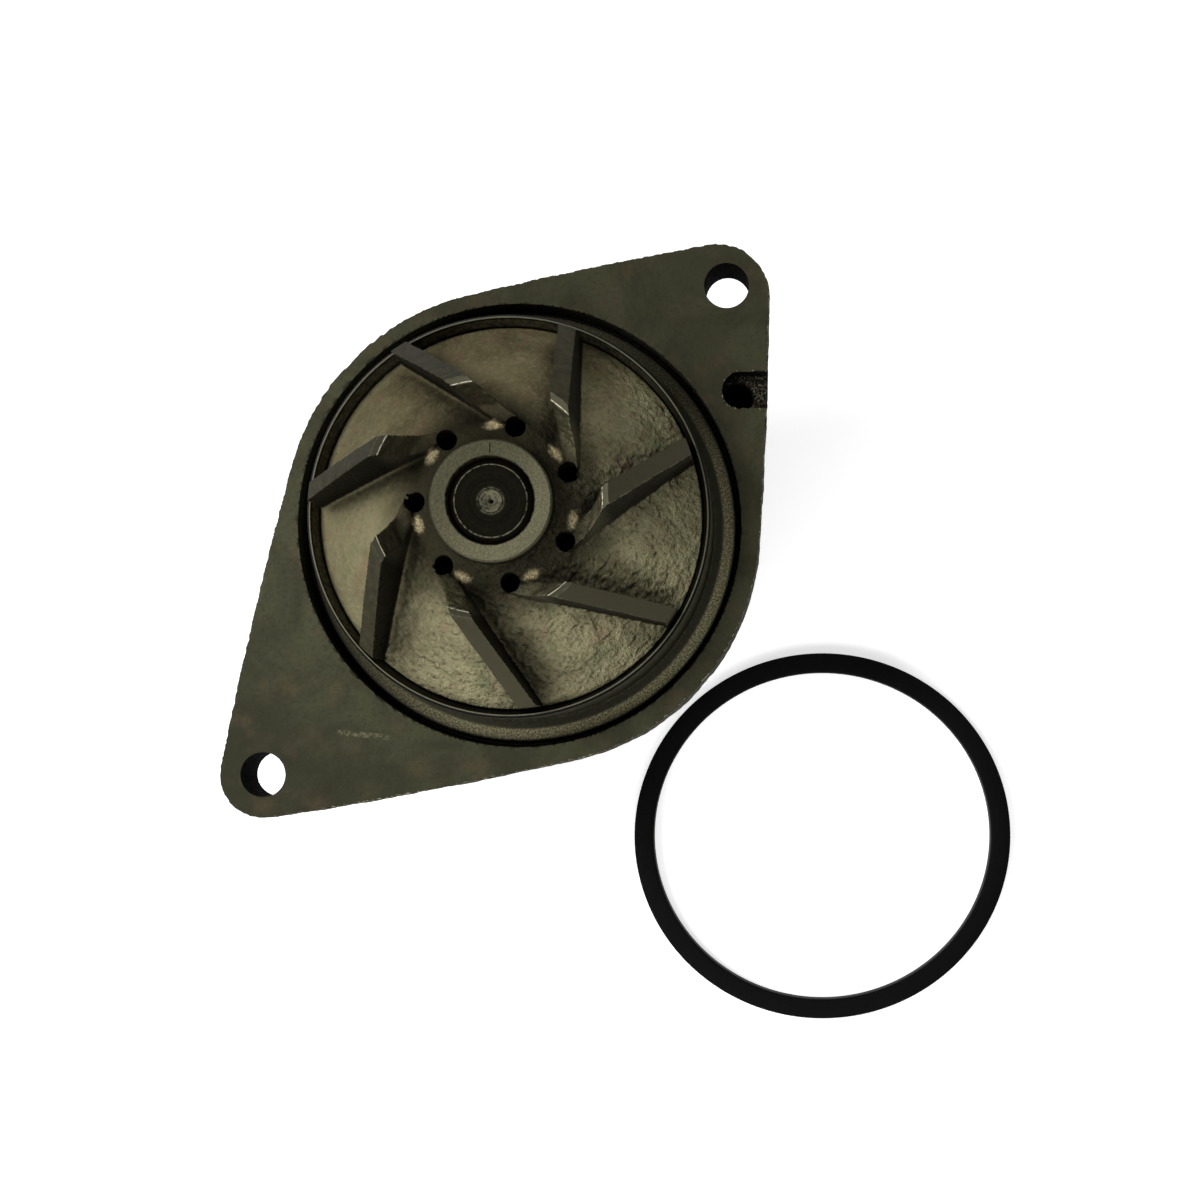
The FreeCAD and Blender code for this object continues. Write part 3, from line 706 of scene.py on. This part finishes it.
def impeller_casting():
    """Open impeller with softened vane roots, sand-cast grain and machined vane tops, hub and rim."""
    casting = Casting(["impeller"], "impeller_casting", IMPELLER_VOXEL)
    casting.true_up(VANE_TIPS)
    casting.true_up(HUB_AND_BORE)
    for hole in range(VANE_COUNT):
        angle = math.radians(FIRST_BALANCE_HOLE + hole * 360 / VANE_COUNT)
        centre = (BALANCE_HOLE_RING * math.cos(angle), BALANCE_HOLE_RING * math.sin(angle))
        wall = [(BALANCE_HOLE_RADIUS, 19.0), (BALANCE_HOLE_RADIUS, 30.0)]
        casting.true_up(wall, centre, low=20.5, high=27.6)
    casting.soften(16)
    coarse_side = np.clip((16 - casting.points[:, 1]) / 24, 0.25, 1.0)
    facing_up = np.clip(casting.read("normal")[:, 2] * 2, 0.3, 1.0)
    casting.roughen([(5.0, 0.2), (1.7, 0.3), (0.9, 0.24)], coarse_side * facing_up)
    return casting.finish("impeller_iron", "rotor")


def body_iron_casting():
    """Pump body: machined face, seal seat, bores and bolt holes; cast skin and a dented rim elsewhere."""
    casting = Casting(CAST_NODES, "body_casting_iron", BODY_VOXEL)
    for profile in (FACE_AND_SEAT, BEARING_BORE, SEAL_BORE):
        casting.true_up(profile)
    for bolt in (BOLT_PLUS, BOLT_MINUS):
        casting.true_up([(BOLT_HOLE_RADIUS, FLANGE_BACK), (BOLT_HOLE_RADIUS, 0.0)], bolt)
    casting.true_up([(WEEP_HOLE_RADIUS, -12.0), (WEEP_HOLE_RADIUS, -WEEP_SLOT_DEPTH)], WEEP_HOLE)
    casting.true_slot(WEEP_SLOT_START, WEEP_SLOT_ANGLE, WEEP_SLOT_HALF_WIDTH, WEEP_SLOT_DEPTH)
    casting.soften(14)
    casting.write()
    flat = casting.points[:, :2]
    rim = np.abs(casting.read("normal")[:, 2]) < 0.93
    rim &= casting.points[:, 2] > -0.5
    rim &= np.hypot(*flat.T) > 45.6
    for bolt in (BOLT_PLUS, BOLT_MINUS):
        rim &= np.hypot(*(flat - bolt).T) > 6.5
    casting.nick(rim, size=1.3, depth=0.9)
    casting.roughen([(7.0, 0.22), (1.5, 0.16)])
    return casting.finish("body_iron", "pump_body")


def ring_section(width, height):
    """Outline of the seal ring's section, outwards and upwards from its inner lower corner, in metres."""
    corner = 0.45 * MM
    outline = []
    for quarter, (side, level) in enumerate(((1, 1), (0, 1), (0, 0), (1, 0))):
        for part in range(5):
            angle = math.radians(90 * quarter + 22.5 * part)
            outline.append((side * (width - 2 * corner) + corner + corner * math.cos(angle),
                            level * (height - 2 * corner) + corner + corner * math.sin(angle)))
    parting_line = [(width, height * 0.47), (width + 0.06 * MM, height * 0.5), (width, height * 0.53)]
    return outline + parting_line


def seal_ring_rubber():
    """Moulded ring with rounded corners and a faint parting line, slightly oval as it lies."""
    low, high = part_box("flange_seal_ring")
    centre = (low + high) / 2
    long_radius, short_radius, width = 45.44 * MM, 44.14 * MM, 4.7 * MM
    around = 360
    section = ring_section(width, high.z - low.z)
    turn = math.radians(VIEW_TURN)
    vertices = []
    for step in range(around):
        angle = TAU * step / around
        for out, up in section:
            u = (long_radius - width + out) * math.cos(angle)
            v = (short_radius - width + out) * math.sin(angle)
            vertices.append((centre.x + u * math.cos(turn) - v * math.sin(turn),
                             centre.y + u * math.sin(turn) + v * math.cos(turn), low.z + up))
    count = len(section)
    faces = []
    for step in range(around):
        here, there = step * count, (step + 1) % around * count
        for k in range(count):
            after = (k + 1) % count
            faces.append((here + k, there + k, there + after, here + after))
    mesh = bpy.data.meshes.new("seal_ring_rubber")
    mesh.from_pydata(vertices, [], faces)
    mesh.shade_smooth()
    mesh.set_sharp_from_angle(angle=math.radians(50))
    ring = bpy.data.objects.new("seal_ring_rubber", mesh)
    bpy.context.scene.collection.objects.link(ring)
    paint(ring, MATERIALS["flange_rubber"])
    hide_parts("flange_seal_ring")
    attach(ring, "loose_seal_ring")


def flexing(node, slot):
    """A copy of a springy node with its material, put where the hidden node was. It does not stretch."""
    piece = bpy.data.objects.new(node + "_flexing", frame["nodes"][node].data.copy())
    bpy.context.scene.collection.objects.link(piece)
    paint(piece, MATERIALS[slot])
    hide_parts(node)
    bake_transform(piece)


impeller_casting()
body_iron_casting()
seal_ring_rubber()
flexing("seal_bellows", "seal_rubber")
flexing("seal_spring", "spring_steel")


# ---------------------------------------------------------------- floor, light and camera

def floor():
    bpy.ops.mesh.primitive_plane_add(size=FLOOR_SIZE, location=(0, 0, FLOOR_Z - 0.0002))
    plane = bpy.context.object
    plane.name = "floor"
    s = Shader("floor_white")
    s.bsdf.inputs["Emission Color"].default_value = (1, 1, 1, 1)
    s.bsdf.inputs["Emission Strength"].default_value = FLOOR_GLOW
    paint(plane, s.finish((0.9, 0.9, 0.9), 0.7))


def softbox(name, azimuth, elevation, distance, size, power):
    """A round area light aimed at the origin. Azimuth 0 is the main view's right, and 90 is its top."""
    turn = math.radians(azimuth + VIEW_TURN)
    rise = math.radians(elevation)
    place = Vector((distance * math.cos(rise) * math.cos(turn), distance * math.cos(rise) * math.sin(turn),
                    distance * math.sin(rise)))
    data = bpy.data.lights.new(name, "AREA")
    data.shape = "DISK"
    data.size = size
    data.energy = power
    light = bpy.data.objects.new(name, data)
    light.location = place
    light.rotation_euler = (-place).to_track_quat("-Z", "Y").to_euler()
    bpy.context.scene.collection.objects.link(light)


def lights():
    softbox("key_left", 165, 56, 0.9, 0.35, 5)
    softbox("lower_left", 238, 44, 0.9, 0.50, 2.8)
    softbox("lower", 285, 52, 0.9, 0.40, 2)
    softbox("far_right", 60, 50, 1.0, 0.60, 1.5)
    world = bpy.data.worlds.new("studio")
    world.use_nodes = True
    background = world.node_tree.nodes["Background"]
    background.inputs["Color"].default_value = (1, 1, 1, 1)
    background.inputs["Strength"].default_value = WORLD_LIGHT
    bpy.context.scene.world = world
    bpy.context.scene.view_settings.view_transform = "Standard"


def camera():
    """Looks straight down from 310 mm above the flange face, turned so that the bolt row runs from
    the lower left to the upper right."""
    data = bpy.data.cameras.new("camera")
    data.sensor_width = 36
    data.lens = 46.5
    data.shift_x = -0.1517
    data.shift_y = 0.1233
    data.clip_start = 0.01
    view = bpy.data.objects.new("camera", data)
    view.location = (0.0038, -0.0687, 0.310)
    view.rotation_euler = (0, 0, math.radians(VIEW_TURN))
    bpy.context.scene.collection.objects.link(view)
    bpy.context.scene.camera = view


floor()
lights()
camera()
